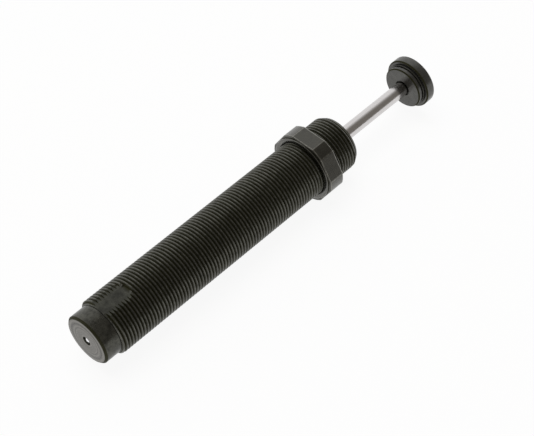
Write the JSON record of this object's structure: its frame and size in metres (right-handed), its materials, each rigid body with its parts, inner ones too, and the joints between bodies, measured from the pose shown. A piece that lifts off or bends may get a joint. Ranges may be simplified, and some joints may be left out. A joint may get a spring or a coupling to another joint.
{
  "type": "industrial shock absorber",
  "caption": "Threaded hydraulic shock absorber with a hex locknut, a closed rear end, a chromed rod and a round strike button; the rod slides in and springs back.",
  "frame": {"origin": "centre of the closed rear end's face", "axes": "+X along the axis, from the rear face to the strike button; +Z through the flat milled on the thread and one flat of the locknut"},
  "size_m": [0.1836, 0.0308, 0.029],
  "materials": {
    "black_steel": "satin",
    "black_nut": "satin",
    "chromed_rod": "polished",
    "bearing_ball_steel": "polished",
    "turned_steel": "satin",
    "spring_steel": "satin",
    "bronze": "satin",
    "sintered_iron": "matte",
    "nitrile": "matte",
    "polyurethane": "satin",
    "foam": "matte",
    "filled_ptfe": "matte"
  },
  "bodies": {
    "housing": {"outer_body": "black_steel", "filler_ball": "bearing_ball_steel", "tube_end_plug": "turned_steel", "pressure_tube": "turned_steel", "rod_bearing": "turned_steel", "bearing_bush": "bronze", "accumulator_foam": "foam", "gland_head": "turned_steel", "gland_o_ring": "nitrile", "rod_seal": "polyurethane", "seal_washer": "turned_steel", "rod_wiper": "nitrile", "retaining_ring": "spring_steel", "return_spring": "spring_steel"},
    "locknut": {"locknut": "black_nut"},
    "piston_seal": {"piston_ring": "filled_ptfe"},
    "rod": {"piston_rod": "chromed_rod", "piston": "sintered_iron", "spring_seat": "turned_steel", "piston_nut": "turned_steel", "button": "black_nut"},
    "valve": {"check_ring": "spring_steel"}
  },
  "joints": [
    {"name": "rod_stroke", "type": "slide", "parent": "housing", "child": "piston_seal", "axis": [1, 0, 0], "range_m": [-0.04, 0], "stiffness_N_per_m": 450, "springref_m": 0.0267, "deforming": ["return_spring"]},
    {"name": "rod_spin", "type": "hinge", "parent": "piston_seal", "child": "rod", "pos_m": [0.08, 0, 0], "axis": [1, 0, 0], "continuous": true},
    {"name": "check_ring_lift", "type": "slide", "parent": "rod", "child": "valve", "axis": [1, 0, 0], "range_m": [-0.0005, 0]},
    {"name": "locknut_travel", "type": "slide", "parent": "housing", "child": "locknut", "axis": [1, 0, 0], "range_m": [-0.106, 0.011]}
  ]
}
